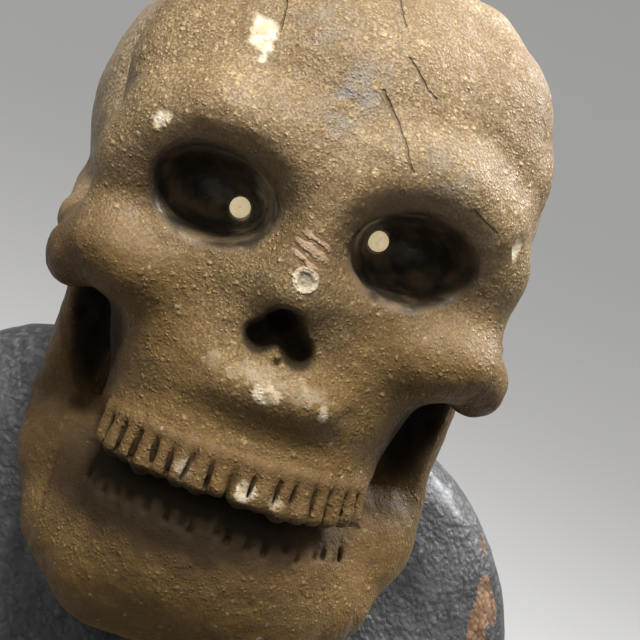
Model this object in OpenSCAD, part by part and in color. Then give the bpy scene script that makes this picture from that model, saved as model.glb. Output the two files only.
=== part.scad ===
// Standing skeleton lady in moulded papier-mache: a bare skull that turns on a neck dowel, a dark lacquered
// dress with high puffed shoulders, and two arms that swing on a wire axle, all carried by a wooden post.
// Millimetres. Origin on the underside at the middle of the base, +Z up, the face looks along -Y.

/* [Skull] */
// Height of the nose opening above the table
nose_h = 545; // [500:1:600]
// How far the nose opening stands in front of the neck axis
nose_out = 57; // [50:1:62]
// Backward tilt of the head, in degrees
head_tilt = 4; // [0:1:6]
// Wall of the moulded skull
skull_wall = 2.6; // [1.8:0.1:3.5]
// Diameter of the awl holes at the back of the eye sockets
awl_d = 3.4; // [2:0.1:5]

/* [Dress] */
// Wall of the moulded dress
dress_wall = 2.5; // [1.5:0.1:3.5]
// Height of the waist above the table
waist_h = 369; // [350:1:380]
// Radius of the waist
waist_r = 28; // [26:1:32]
// Radius of the skirt at the hem
hem_r = 89; // [80:1:94]
// Number of pleats in the flounce
pleats = 26; // [18:1:36]

/* [Arms] */
// Height of the arm axle above the table
axle_h = 427; // [420:1:432]
// Diameter of the arm axle wire
axle_d = 4; // [3:0.1:5]
// Distance of each shoulder ball from the middle
shoulder_x = 60; // [58:1:64]

/* [Stand] */
// Radius of the wooden base
base_r = 100; // [96:1:110]
// Thickness of the wooden base
base_t = 20; // [16:1:24]
// Diameter of the centre post
post_d = 22; // [18:1:24]
// Diameter of the neck dowel
dowel_d = 10; // [8:0.5:11]

/* [Hidden] */
$fn = 64;
big = 400;
fit_gap = 0.05;
glue_gap = 0.2;
felt_t = 1.5;
base_top = felt_t + base_t;
post_socket = 8;
post_top = nose_h - 45.5;
dowel_low = post_top - 27.5;
dowel_top = nose_h + 3;
neck_column_h = 23.5;
neck_washer_t = 2;
plug_low = post_top + neck_column_h + neck_washer_t;
plug_h = 9;
plug_r = 16;
pin_d = 2.5;
cape_hem = nose_h - 100;
cape_mid = nose_h - 75;
hoop_d = 3;
hoop_h = 66;
former_h = 190;
former_t = 5;
skirt_low = base_top + 0.5;
flounce_h = 38;
yoke_half = 30;
bush_in = 48;
bush_out = 58;
bush_r = 9;
ball_r = 17;
elbow = [64, 6, 352];
wrist = [40, -52, 361];
arm_wire_d = 3;
skull_seam = -14;

// Each body is a list of [centre, semi-axes] of ellipsoids. A pair repeats its ellipsoid on the other side.
function pair(c, s) = [[c, s], [[-c[0], c[1], c[2]], s]];

// Skull frame: x to the side, y back, z up, with the nose opening at [0, -52, 0].
skull_origin = [0, -8, 4];
skull_solids = concat(
    [[[0, 4, 24], [37.5, 49.5, 35.5]]],
    [[[0, -24, 2], [26, 26, 30]]],
    pair([13, -28, 25], [17, 17, 9]),
    pair([16, -20, 2], [21.3, 21, 7.5]),
    [[[0, -27, -10], [21.5, 24.5, 24]]],
    pair([8, -21, -21], [17, 26, 34.5]),
    pair([14.5, -18, -9], [18.5, 18, 30]),
    [[[0, -30, 9], [6, 23, 14]]]);

// Eye sockets, nose and cheek slots pressed into the skull, and the hollow inside it.
skull_cuts = concat(
    pair([15.3, -50, 17.3], [10.4, 16, 7.8]),
    [[[0, -55, 1.2], [5.2, 11, 5.4]]],
    pair([31.5, -36, -17], [9, 9, 12]));
awl_holes = [[-11.2, 15.2], [10.9, 17]];
patch_y = -30.5;
throat_r = 24;
skull_inside = [[[0, 7, 24], [37.5, 47, 35.5]], [[0, -21, -20], [20, 22.5, 28]]];

// Dress frame: the part's own frame.
cape_origin = [0, 4, cape_mid - 2];
cape_solids = concat(pair([24, 14, cape_mid], [43.5, 26, 51]), [[[0, 2, cape_mid - 24], [64, 37, 56]]]);
bodice_origin = [0, 0, nose_h - 118];
bodice_solids = [[[0, 3, nose_h - 109], [43.6, 30, 62]], [[0, 0, nose_h - 150], [29.5, 28.5, 70]],
                 [[0, -6, nose_h - 111], [33, 24, 22]]];

// Distance from o along d to the far side of an ellipsoid whose semi-axes are grown by g, or 0 if it is missed.
function leaves(o, d, e, g) =
    let (s = [for (i = [0:2]) e[1][i] + g],
         p = [for (i = [0:2]) (o[i] - e[0][i]) / s[i]],
         q = [for (i = [0:2]) d[i] / s[i]],
         k = (p * q) * (p * q) - (q * q) * (p * p - 1))
    k < 0 ? 0 : max(0, (-p * q + sqrt(k)) / (q * q));

// The solids' common skin, with the creases between them filled. A higher power leaves less filling.
blend_power = 18;
function union_skin(o, d, solids, g) =
    let (reach = [for (e = solids) leaves(o, d, e, g)], top = max(reach))
    top * pow([for (r = reach) 1] * [for (r = reach) pow(r / top, blend_power)], 1 / blend_power);

// A closed skin around o. Rings run from the front pole to the back pole, and lie closer in front.
front_pull = 1.15;
module blob(o, solids, w, rings, spokes) {
    ring_points = [for (i = [1:rings - 1]) for (j = [0:spokes - 1])
        let (a = 180 * pow(i / rings, front_pull), b = 360 * j / spokes, d = [sin(a) * cos(b), -cos(a), sin(a) * sin(b)])
        o + d * union_skin(o, d, solids, -w)];
    front = o + [0, -1, 0] * union_skin(o, [0, -1, 0], solids, -w);
    back = o + [0, 1, 0] * union_skin(o, [0, 1, 0], solids, -w);
    last = (rings - 1) * spokes;
    sides = [for (i = [0:rings - 3]) for (j = [0:spokes - 1])
        let (k = (j + 1) % spokes, u = i * spokes, v = u + spokes) each [
            [u + j, u + k, v + k], [u + j, v + k, v + j]]];
    caps = [for (j = [0:spokes - 1])
        let (k = (j + 1) % spokes, v = (rings - 2) * spokes) each [[last, k, j], [last + 1, v + j, v + k]]];
    polyhedron(concat(ring_points, [front, back]), concat(sides, caps), convexity = 8);
}

module at_skull() {
    translate([0, -nose_out, nose_h]) rotate([-head_tilt, 0, 0]) translate([0, 52, 0]) children();
}

// Teeth sit on the skin along a cone of rays that dips by the angle dip.
module tooth_row(dip, spread, count, size) {
    for (i = [0:count - 1]) {
        a = spread * (2 * i / (count - 1) - 1);
        d = [sin(a) * cos(dip), -cos(a) * cos(dip), -sin(dip)];
        translate(skull_origin + d * (union_skin(skull_origin, d, skull_solids, 0) - 0.4))
            rotate([0, 0, a]) scale([1, 1, 1.8]) sphere(r = size, $fn = 8);
    }
}

module skull_shell() {
    difference() {
        union() {
            blob(skull_origin, skull_solids, 0, 34, 52);
            tooth_row(31.5, 34, 14, 1.75);
            tooth_row(39.5, 33, 14, 1.5);
        }
        for (e = skull_inside) {
            hull() translate(e[0]) scale([for (a = e[1]) a - skull_wall]) sphere(r = 1, $fn = 32);
        }
        for (e = skull_cuts) {
            hull() translate(e[0]) scale(e[1]) sphere(r = 1, $fn = 28);
        }
        for (eye = awl_holes) {
            translate([eye[0], -20, eye[1]]) rotate([90, 0, 0]) cylinder(d = awl_d, h = 25, $fn = 20);
        }
        // the throat, open between the jaw and the neck
        translate([-big / 2, throat_r - 18, -52]) rotate([0, 90, 0]) cylinder(r = throat_r, h = big);
    }
}

// Cream paper glued inside the skull behind the awl holes.
module eye_patches() {
    color("#e6dcc0") at_skull() for (eye = awl_holes) {
        translate([eye[0], patch_y, eye[1]]) rotate([90, 0, 0]) cylinder(r = 3, h = 0.6);
    }
}

module skull_face() {
    color("#a58d62") at_skull() intersection() {
        skull_shell();
        translate([-big / 2, skull_seam - glue_gap / 2 - big, -big / 2]) cube(big);
    }
}

module skull_back() {
    color("#a08860") difference() {
        at_skull() intersection() {
            skull_shell();
            translate([-big / 2, skull_seam + glue_gap / 2, -big / 2]) cube(big);
        }
        cylinder(r = plug_r + glue_gap, h = nose_h + 5);
    }
}

module skull_plug() {
    color("#b08a5a") translate([0, 0, plug_low]) difference() {
        cylinder(r = plug_r, h = plug_h);
        translate([0, 0, -1]) cylinder(d = dowel_d + 2 * fit_gap, h = plug_h + 2);
    }
}

module neck_dowel() {
    color("#c2a070") difference() {
        translate([0, 0, dowel_low]) cylinder(d = dowel_d, h = dowel_top - dowel_low);
        translate([0, 0, dowel_top - 6]) rotate([0, 90, 0]) cylinder(d = pin_d, h = 40, center = true);
    }
}

module head_pin() {
    color("#8a8a88") translate([0, 0, dowel_top - 6]) rotate([0, 90, 0])
        cylinder(d = pin_d - 0.1, h = 26, center = true);
}

// A turned neck A turned neck with three bead-like vertebrae. vertebrae.
module neck_column() {
    color("#9c8358") translate([0, 0, post_top]) rotate_extrude() difference() {
        union() {
            translate([0, 0]) square([11, neck_column_h]);
            for (z = [3.8, 11.7, 19.6]) {
                translate([9.6, z]) circle(r = 3.4, $fn = 32);
            }
        }
        translate([-20, -1]) square([20 + dowel_d / 2 + fit_gap, neck_column_h + 2]);
        translate([0, -5]) square([20, 5]);
        translate([0, neck_column_h]) square([20, 5]);
    }
}

module neck_washer() {
    color("#5a4030") translate([0, 0, post_top + neck_column_h]) difference() {
        cylinder(r = 11, h = neck_washer_t);
        translate([0, 0, -1]) cylinder(d = dowel_d + 0.4, h = neck_washer_t + 2);
    }
}

module centre_post() {
    color("#b8935f") difference() {
        translate([0, 0, base_top - post_socket]) cylinder(d = post_d, h = post_top - base_top + post_socket);
        translate([0, 0, dowel_low]) cylinder(d = dowel_d, h = 60);
        translate([0, 0, 0]) cylinder(d = 5.1, h = 62);
        translate([0, 0, axle_h]) rotate([0, 90, 0]) cylinder(d = axle_d, h = 60, center = true);
    }
}

module base_felt() {
    color("#3a3f3a") difference() {
        cylinder(r = base_r - 6, h = felt_t, $fn = 96);
        translate([0, 0, -1]) cylinder(r = 12, h = felt_t + 2);
    }
}

// A turned disc with an ovolo edge, a socket for the post above and a counterbore for the screw below.
module base_board() {
    color("#5b3a26") translate([0, 0, felt_t]) rotate_extrude($fn = 128) difference() {
        union() {
            square([base_r - 7, base_t]);
            square([base_r, base_t - 9]);
            translate([base_r - 7, base_t - 8]) circle(r = 6, $fn = 48);
        }
        square([2.6, base_t + 1]);
        square([9, 7]);
        translate([0, base_t - post_socket]) square([post_d / 2, post_socket + 1]);
    }
}

module base_washer() {
    color("#8e8e8a") translate([0, 0, felt_t + 5.6]) difference() {
        cylinder(r = 8.5, h = 1.4);
        translate([0, 0, -1]) cylinder(r = 2.7, h = 4);
    }
}

module post_screw() {
    color("#9a9a96") translate([0, 0, felt_t + 5.6]) {
        translate([0, 0, -3.6]) difference() {
            cylinder(r = 5.5, h = 3.6);
            translate([-0.6, -6, -1]) cube([1.2, 12, 2.4]);
        }
        cylinder(r = 2.5, h = 50);
    }
}

// Radius of the skirt's outer skin at height z: a bell that flares under the waist.
function skirt_r(z) = waist_r + (hem_r - waist_r) * pow(max(0, 1 - (z - skirt_low) / (waist_h - skirt_low)), 0.8);

module skirt_shell() {
    steps = 16;
    heights = [for (i = [0:steps]) skirt_low + (waist_h - skirt_low) * i / steps];
    color("#2b2a2c") rotate_extrude($fn = 96) polygon(concat(
        [for (z = heights) [skirt_r(z), z]],
        [for (i = [steps:-1:0]) [skirt_r(heights[i]) - dress_wall, heights[i]]]));
}

// A wavy ring around the hem: a fan of pleats, deepest at the bottom.
module hem_flounce() {
    spokes = pleats * 6;
    levels = 3;
    function out_r(i, j) = skirt_r(skirt_low + flounce_h * i / levels) + 3
        + (1 - 0.55 * i / levels) * 2.6 * (1 + cos(360 * j * pleats / spokes));
    function in_r(i) = skirt_r(skirt_low + flounce_h * i / levels) + 0.35;
    function ring(r, j, i) = [r * cos(360 * j / spokes), r * sin(360 * j / spokes),
                              skirt_low + flounce_h * i / levels];
    outer = [for (i = [0:levels]) for (j = [0:spokes - 1]) ring(out_r(i, j), j, i)];
    inner = [for (i = [0:levels]) for (j = [0:spokes - 1]) ring(in_r(i), j, i)];
    n = (levels + 1) * spokes;
    faces = [for (j = [0:spokes - 1]) let (k = (j + 1) % spokes) each concat(
        [for (i = [0:levels - 1]) let (u = i * spokes, v = u + spokes) each [
            [u + j, v + k, u + k], [u + j, v + j, v + k],
            [n + u + j, n + u + k, n + v + k], [n + u + j, n + v + k, n + v + j]]],
        let (t = levels * spokes) [
            [j, k, n + k], [j, n + k, n + j],
            [t + j, n + t + k, t + k], [t + j, n + t + j, n + t + k]])];
    color("#242325") polyhedron(concat(outer, inner), faces, convexity = 6);
}

module skirt_hoop() {
    color("#77736c") translate([0, 0, hoop_h]) rotate_extrude($fn = 96)
        translate([skirt_r(hoop_h + hoop_d / 2) - dress_wall - hoop_d / 2 - glue_gap, 0]) circle(d = hoop_d, $fn = 24);
}

module skirt_former() {
    color("#c9a878") translate([0, 0, former_h]) difference() {
        cylinder(r = skirt_r(former_h + former_t) - dress_wall - glue_gap, h = former_t);
        translate([0, 0, -1]) cylinder(d = post_d, h = former_t + 2);
        for (a = [0:60:300]) {
            rotate(a) translate([36, 0, -1]) cylinder(r = 11, h = former_t + 2);
        }
    }
}

module waist_disc() {
    color("#c9a878") translate([0, 0, waist_h - 7]) difference() {
        union() {
            cylinder(r = waist_r - dress_wall - glue_gap, h = 7);
            cylinder(r = waist_r - dress_wall - 3, h = 14);
        }
        translate([0, 0, -1]) cylinder(d = post_d, h = 16);
    }
}

module waist_sash() {
    color("#1f1e20") translate([0, 0, waist_h - 3]) rotate_extrude($fn = 72) difference() {
        translate([0, 8]) circle(r = waist_r + 4, $fn = 96);
        translate([-60, -60]) square([60 + waist_r + 1.4, 120]);
        translate([0, 17]) square([60, 60]);
        translate([0, -61]) square([60, 60]);
    }
}

module bodice_shell() {
    difference() {
        blob(bodice_origin, bodice_solids, 0, 20, 36);
        blob(bodice_origin, bodice_solids, dress_wall, 16, 32);
        translate([-big / 2, -big / 2, waist_h + 0.2 - big]) cube(big);
        cylinder(d = post_d + 0.6, h = nose_h);
        translate([0, 0, axle_h]) rotate([0, 90, 0]) cylinder(d = axle_d + 0.6, h = 120, center = true, $fn = 24);
    }
}

module bodice_front() {
    color("#2d2c2f") intersection() {
        bodice_shell();
        translate([-big / 2, -big - glue_gap / 2, 200]) cube(big);
    }
}

module bodice_back() {
    color("#2a292c") intersection() {
        bodice_shell();
        translate([-big / 2, glue_gap / 2, 200]) cube(big);
    }
}

module shoulder_cape() {
    color("#26262a") difference() {
        blob(cape_origin, cape_solids, 0, 24, 48);
        blob(cape_origin, cape_solids, dress_wall, 18, 36);
        translate([-big / 2, -big / 2, cape_hem - big]) cube(big);
        cylinder(r = 14, h = big * 2);
    }
}

module shoulder_yoke() {
    color("#b8935f") difference() {
        translate([-yoke_half, -14, axle_h - 10]) cube([2 * yoke_half, 28, 20]);
        cylinder(d = post_d, h = big * 2);
        translate([0, 0, axle_h]) rotate([0, 90, 0]) cylinder(d = axle_d, h = 120, center = true);
    }
}

module arm_axle() {
    color("#9a9a96") translate([0, 0, axle_h]) rotate([0, 90, 0])
        cylinder(d = axle_d, h = 2 * (bush_out + 4), center = true);
}

module axle_spacers() {
    color("#8e8e8a") for (side = [-1, 1]) {
        translate([side * (bush_in - 2.3), 0, axle_h]) rotate([0, 90, 0]) difference() {
            cylinder(r = 6, h = 4, center = true);
            cylinder(d = axle_d, h = 6, center = true);
        }
    }
}

module axle_caps() {
    color("#8e8e8a") for (side = [-1, 1]) {
        translate([side * (bush_out + 2.3), 0, axle_h]) rotate([0, 90, 0]) difference() {
            cylinder(r = 5, h = 4, center = true);
            cylinder(d = axle_d, h = 6, center = true);
        }
    }
}

// Arm pieces are drawn for side = 1, on +X, and mirrored for side = -1.
module on_side(side) {
    mirror([side < 0 ? 1 : 0, 0, 0]) children();
}

module arm_bush(side) {
    color("#b08a5a") on_side(side) difference() {
        translate([bush_in, 0, axle_h]) rotate([0, 90, 0]) cylinder(r = bush_r, h = bush_out - bush_in);
        translate([0, 0, axle_h]) rotate([0, 90, 0]) cylinder(d = axle_d + 2 * fit_gap, h = 120);
        translate([54, 0, axle_h - bush_r - 1]) cylinder(d = arm_wire_d, h = 5);
    }
}

module rod(a, b, d) {
    v = b - a;
    translate(a) rotate([0, acos(v[2] / norm(v)), atan2(v[1], v[0])]) cylinder(d = d, h = norm(v));
}

module arm_wire(side) {
    color("#77736c") on_side(side) {
        rod([54, 0, axle_h - bush_r + 4], [54, 0, axle_h - bush_r - 12], arm_wire_d);
        translate([54, 0, axle_h - bush_r - 12]) sphere(d = 1.2 * arm_wire_d);
        rod([54, 0, axle_h - bush_r - 12], elbow, arm_wire_d);
        translate(elbow) sphere(d = 1.2 * arm_wire_d);
        rod(elbow, wrist + 0.065 * (elbow - wrist), arm_wire_d);
    }
}

module sleeve_form(shrink) {
    hull() {
        translate([shoulder_x, 0, axle_h]) sphere(r = ball_r - shrink, $fn = 20);
        translate([elbow[0], elbow[1] * 0.5, (axle_h + elbow[2]) / 2 - 4]) sphere(r = 12.5 - shrink, $fn = 20);
    }
    hull() {
        translate([elbow[0], elbow[1] * 0.5, (axle_h + elbow[2]) / 2 - 4]) sphere(r = 12.5 - shrink, $fn = 20);
        translate(elbow) sphere(r = 11 - shrink, $fn = 20);
    }
    hull() {
        translate(elbow) sphere(r = 11 - shrink, $fn = 20);
        translate(wrist) sphere(r = 9 - shrink, $fn = 20);
    }
}

module wrist_cut() {
    translate(wrist) rotate([90 - 9, 0, -22.5]) cylinder(r = 20, h = 30);
}

module sleeve(side) {
    color("#28272a") on_side(side) difference() {
        sleeve_form(0);
        sleeve_form(2);
        translate([0, -50, axle_h - 50]) cube([bush_in, 100, 100]);
        translate([0, 0, axle_h]) rotate([0, 90, 0]) cylinder(r = bush_r + 0.1, h = shoulder_x - 4);
        wrist_cut();
    }
}

// A rolled ring around the wrist end of the sleeve.
module cuff(side) {
    color("#1f1e20") on_side(side) translate(wrist) rotate([90 - 9, 0, -22.5]) rotate_extrude() {
        translate([10.4, -4.5]) circle(r = 1.2, $fn = 24);
        translate([9.3, -4.5]) square([2.6, 6]);
        translate([10.9, 2]) circle(r = 2.4, $fn = 24);
    }
}

module bone(a, b, r) {
    hull() {
        translate(a) sphere(r = r, $fn = 8);
        translate(b) sphere(r = r * 0.85, $fn = 8);
    }
}

// Hand frame: -y points along the fingers, x across the knuckles.
module hand(side) {
    color("#a58d62") on_side(side) translate(wrist) rotate([14, 0, -22.5]) translate([0, -1.2, 0]) {
        bone([0, 0.4, 0], [0, -9, 0], 4.2);
        for (i = [-1.5:1:1.5]) {
            knuckle = [i * 4.6, -22 + abs(i) * 1.2, -1];
            middle = knuckle + [i * 0.9, -10 + abs(i), -3];
            bone([i * 2.2, -8, 0], knuckle, 1.9);
            bone(knuckle, middle, 1.75);
            bone(middle, middle + [i * 0.3, -7.5 + abs(i) * 0.8, -5], 1.6);
        }
        bone([-3, -5, 0], [-10, -13, -2], 1.9);
        bone([-10, -13, -2], [-12, -21, -4.5], 1.7);
    }
}

base_felt();
base_board();
base_washer();
post_screw();
centre_post();
skirt_former();
skirt_hoop();
skirt_shell();
hem_flounce();
waist_disc();
waist_sash();
bodice_front();
bodice_back();
shoulder_yoke();
arm_axle();
axle_spacers();
axle_caps();
shoulder_cape();
neck_column();
neck_washer();
neck_dowel();
head_pin();
skull_plug();
skull_back();
skull_face();
eye_patches();
arm_bush(-1);  // arm_bush_right
arm_wire(-1);  // arm_wire_right
sleeve(-1);  // sleeve_right
cuff(-1);  // cuff_right
hand(-1);  // hand_right
arm_bush(1);  // arm_bush_left
arm_wire(1);  // arm_wire_left
sleeve(1);  // sleeve_left
cuff(1);  // cuff_left
hand(1);  // hand_left
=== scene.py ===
import copy
import itertools
import math

import bpy
import numpy as np
from mathutils import Matrix, Vector


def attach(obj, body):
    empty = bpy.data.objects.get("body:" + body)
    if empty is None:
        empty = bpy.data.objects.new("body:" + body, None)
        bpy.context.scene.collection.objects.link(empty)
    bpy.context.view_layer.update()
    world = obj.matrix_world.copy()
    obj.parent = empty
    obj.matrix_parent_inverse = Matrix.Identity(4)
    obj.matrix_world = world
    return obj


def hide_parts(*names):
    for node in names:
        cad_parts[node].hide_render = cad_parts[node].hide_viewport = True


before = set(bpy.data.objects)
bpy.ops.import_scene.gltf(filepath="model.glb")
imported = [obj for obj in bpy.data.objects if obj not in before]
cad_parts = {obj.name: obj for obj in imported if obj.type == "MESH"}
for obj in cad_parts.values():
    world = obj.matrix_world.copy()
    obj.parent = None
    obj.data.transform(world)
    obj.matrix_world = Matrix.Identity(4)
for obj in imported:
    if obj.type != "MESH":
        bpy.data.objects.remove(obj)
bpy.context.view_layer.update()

MM = 0.001
NOSE = (0.0, -57.0, 545.0)      # nose opening, in the part's frame, mm
HEAD_TILT = math.radians(4.0)
NOSE_LOCAL = (0.0, -52.0, 0.0)  # the same point in the skull's own frame
FAR = 20.0                      # distance given to empty space in a field, mm
REACH = 2.0                     # how far round a shape its distances are worked out, mm


# ---------------------------------------------------------------- distance fields

class Field:
    """Signed distances on a grid, in mm: negative inside."""

    def __init__(self, low, high, step):
        self.step = step
        self.axes = [np.arange(a, b + step, step, dtype=np.float32) for a, b in zip(low, high)]
        self.d = np.full([len(a) for a in self.axes], FAR, dtype=np.float32)

    def window(self, low, high):
        """Slices and coordinates of the part of the grid inside a box."""
        cuts = [slice(max(0, np.searchsorted(a, l)), np.searchsorted(a, h, side="right"))
                for a, l, h in zip(self.axes, low, high)]
        grids = np.meshgrid(*[a[c] for a, c in zip(self.axes, cuts)], indexing="ij", sparse=True)
        return tuple(cuts), grids

    def add(self, shape, blend=0.0, sign=1):
        """Joins a shape on, with a fillet as wide as blend. With sign -1 the shape is cut away."""
        cuts, grids = self.window(*shape.box(blend + REACH))
        self.d[cuts] = sign * soft_min(sign * self.d[cuts], shape(*grids), blend)

    def cut(self, shape, blend=0.0):
        self.add(shape, blend, -1)

    def mirror(self):
        """Copies the +x half onto the -x half. The first plane is at x = 0."""
        self.d = np.concatenate([self.d[:0:-1], self.d])
        self.axes[0] = np.concatenate([-self.axes[0][:0:-1], self.axes[0]])


def soft_min(a, b, k):
    """The lesser of two distances, rounded off where they differ by less than k."""
    if k <= 0:
        return np.minimum(a, b)
    h = np.clip(0.5 + 0.5 * (b - a) / k, 0, 1)
    return b + (a - b) * h - k * h * (1 - h)


class Ball:
    """An ellipsoid, turned by degrees about the y axis."""

    def __init__(self, centre, semi, turn=0.0):
        self.c, self.s, self.turn = centre, semi, math.radians(turn)

    def box(self, margin):
        r = [max(self.s) + margin] * 3 if self.turn else [s + margin for s in self.s]
        return [c - q for c, q in zip(self.c, r)], [c + q for c, q in zip(self.c, r)]

    def __call__(self, x, y, z):
        x, y, z = x - self.c[0], y - self.c[1], z - self.c[2]
        if self.turn:
            x, z = (x * math.cos(self.turn) + z * math.sin(self.turn),
                    z * math.cos(self.turn) - x * math.sin(self.turn))
        a, b, c = self.s
        near = np.sqrt((x / a) ** 2 + (y / b) ** 2 + (z / c) ** 2)
        steep = np.sqrt((x / a ** 2) ** 2 + (y / b ** 2) ** 2 + (z / c ** 2) ** 2)
        return near * (near - 1) / np.maximum(steep, 1e-6)


class Rod:
    """A round-ended bar from a to b whose radius goes from ra to rb, stretched deep times along y."""

    def __init__(self, a, b, ra, rb=None, deep=1.0):
        self.a, self.b = np.array(a, float), np.array(b, float)
        self.ra, self.rb, self.deep = ra, ra if rb is None else rb, deep

    def box(self, margin):
        r = np.array([1, self.deep, 1]) * (max(self.ra, self.rb) + margin)
        return np.minimum(self.a, self.b) - r, np.maximum(self.a, self.b) + r

    def __call__(self, x, y, z):
        v = self.b - self.a
        px, py, pz = x - self.a[0], (y - self.a[1]) / self.deep, z - self.a[2]
        t = np.clip((px * v[0] + py * v[1] + pz * v[2]) / max(float(v @ v), 1e-9), 0, 1)
        gap = np.sqrt((px - t * v[0]) ** 2 + (py - t * v[1]) ** 2 + (pz - t * v[2]) ** 2)
        return gap - (self.ra + (self.rb - self.ra) * t)


def surface(field):
    """Surface nets: one vertex in each cell that the surface crosses, one quad over each crossed edge."""
    d = field.d
    inside = d < 0
    count = np.zeros([n - 1 for n in d.shape], np.uint8)
    corners = [(i, j, k) for i in (0, 1) for j in (0, 1) for k in (0, 1)]
    for i, j, k in corners:
        count += inside[i:i + count.shape[0], j:j + count.shape[1], k:k + count.shape[2]]
    cells = np.argwhere((count > 0) & (count < 8))
    value = {c: d[cells[:, 0] + c[0], cells[:, 1] + c[1], cells[:, 2] + c[2]] for c in corners}
    total = np.zeros((len(cells), 3))
    hits = np.zeros(len(cells))
    for c in corners:
        for axis in range(3):
            if c[axis]:
                continue
            e = tuple(1 if q == axis else c[q] for q in range(3))
            crossed = (value[c] < 0) != (value[e] < 0)
            t = np.where(crossed, value[c] / np.where(crossed, value[c] - value[e], 1), 0)
            point = np.tile(np.array(c, float), (len(cells), 1))
            point[:, axis] += t
            total += point * crossed[:, None]
            hits += crossed
    low = np.array([a[0] for a in field.axes])
    points = low + (cells + total / hits[:, None]) * field.step
    index = np.full(count.shape, -1, np.int32)
    index[tuple(cells.T)] = np.arange(len(cells))
    quads = []
    for axis in range(3):
        u, v = (axis + 1) % 3, (axis + 2) % 3
        here, there = [slice(None)] * 3, [slice(None)] * 3
        here[axis], there[axis] = slice(None, -1), slice(1, None)
        edge = np.argwhere(inside[tuple(here)] != inside[tuple(there)])
        edge = edge[(edge[:, u] > 0) & (edge[:, v] > 0)
                    & (edge[:, u] < d.shape[u] - 1) & (edge[:, v] < d.shape[v] - 1)]
        ring = []
        for du, dv in ((1, 1), (0, 1), (0, 0), (1, 0)):
            cell = edge.copy()
            cell[:, u] -= du
            cell[:, v] -= dv
            ring.append(index[tuple(cell.T)])
        quad = np.stack(ring, axis=1)
        flip = ~inside[tuple(edge.T)]
        quad[flip] = quad[flip][:, ::-1]
        quads.append(quad)
    return points, np.concatenate(quads)


# ---------------------------------------------------------------- meshes

def to_skull(point):
    """From the part's frame to the skull's own, mm."""
    y, z = point[1] - NOSE[1], point[2] - NOSE[2]
    return (point[0], y * math.cos(HEAD_TILT) - z * math.sin(HEAD_TILT) + NOSE_LOCAL[1],
            y * math.sin(HEAD_TILT) + z * math.cos(HEAD_TILT))


def from_skull(p):
    """Points in the skull's frame, as an array, to the part's frame."""
    y, z = p[:, 1] - NOSE_LOCAL[1], p[:, 2]
    return np.stack([p[:, 0], NOSE[1] + y * math.cos(HEAD_TILT) + z * math.sin(HEAD_TILT),
                     NOSE[2] - y * math.sin(HEAD_TILT) + z * math.cos(HEAD_TILT)], axis=1)


def normals(points, quads):
    """Unit normals at the points, each the mean of its quads by area."""
    a, b, c, d = (points[quads[:, i]] for i in range(4))
    face = np.cross(c - a, d - b)
    index = quads.ravel()
    spread = np.repeat(face, 4, axis=0)
    total = np.stack([np.bincount(index, spread[:, i], len(points)) for i in range(3)], axis=1)
    return total / np.maximum(np.linalg.norm(total, axis=1), 1e-9)[:, None]


def noise(points, pitch, seed):
    """Smooth random values from -1 to 1 on a lattice of that pitch, mm."""
    size = 64
    table = np.random.default_rng(seed).uniform(-1, 1, (size, size, size))
    place = points / pitch
    cell = np.floor(place).astype(int)
    t = place - cell
    t = t * t * (3 - 2 * t)
    out = np.zeros(len(points))
    for corner in itertools.product((0, 1), repeat=3):
        share = np.prod(np.where(corner, t, 1 - t), axis=1)
        i, j, k = ((cell + corner) % size).T
        out += share * table[i, j, k]
    return out


def ramp(value, low, high):
    """0 below low, 1 above high, smooth between."""
    t = np.clip((value - low) / (high - low), 0, 1)
    return t * t * (3 - 2 * t)


def crumple(points, pitch, seed):
    """Creases of crumpled paper: sharp ridges between soft hollows, from 0 to 1."""
    return 1 - np.abs(noise(points, pitch, seed)) ** 0.7


def make(name, points, quads, body, slot, paint=None):
    """A piece that stands for the CAD node of that name, from points in the part's frame in mm."""
    mesh = bpy.data.meshes.new(name)
    mesh.from_pydata((points * MM).tolist(), [], quads.tolist())
    mesh.shade_smooth()
    if paint is not None:
        tint = mesh.color_attributes.new("paint", "FLOAT_COLOR", "POINT")
        tint.data.foreach_set("color", np.column_stack([paint, np.ones(len(points))]).ravel())
    mesh.materials.append(looks[slot])
    piece = bpy.data.objects.new(name, mesh)
    bpy.context.scene.collection.objects.link(piece)
    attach(piece, body)
    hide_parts(name)


def grid_quads(rows, columns, closed_rows=False):
    """Quads of a grid whose columns close into a ring. With closed_rows the last row joins the first."""
    i = np.arange(rows if closed_rows else rows - 1)[:, None]
    j = np.arange(columns)[None, :]
    low, high = i * columns, (i + 1) % rows * columns
    k = (j + 1) % columns
    return np.stack([low + j, low + k, high + k, high + j], axis=-1).reshape(-1, 4)


def band(outer, inner):
    """Closes two grids of points, rows by columns by 3, into one ring-shaped skin, outer side out."""
    loop = np.concatenate([outer, inner[::-1]])
    rows, columns = loop.shape[:2]
    return loop.reshape(-1, 3), grid_quads(rows, columns, closed_rows=True)


# ---------------------------------------------------------------- skull

SKULL_STEP = 0.45
SKULL_WALL = 2.4
SEAM = -14.0
UPPER_TEETH = dict(rx=21.7, ry=18.1, pitch=3.15, top=-20.0, foot=-24.2)
LOWER_TEETH = dict(rx=20.8, ry=16.6, pitch=2.7, top=-26.8, foot=-30.8)
SOCKET = dict(centre=(15.9, -46, 16.5), semi=(9.8, 14.5, 6.9), turn=3)
AWL_HOLES = ((-11.2, 15.2), (10.9, 17.0))
AWL_R = 1.7
PATCH_Y = -32.8                 # front of the paper behind the awl holes
PLUG_HOLE = ((0, 0, 512), (0, 0, 541), 16.4)
WRINKLE_PITCH = 1.7
MOULDED_DEPTH = (-1.6, -0.8)    # the hand-moulded relief fades out between these depths in the wall
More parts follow.
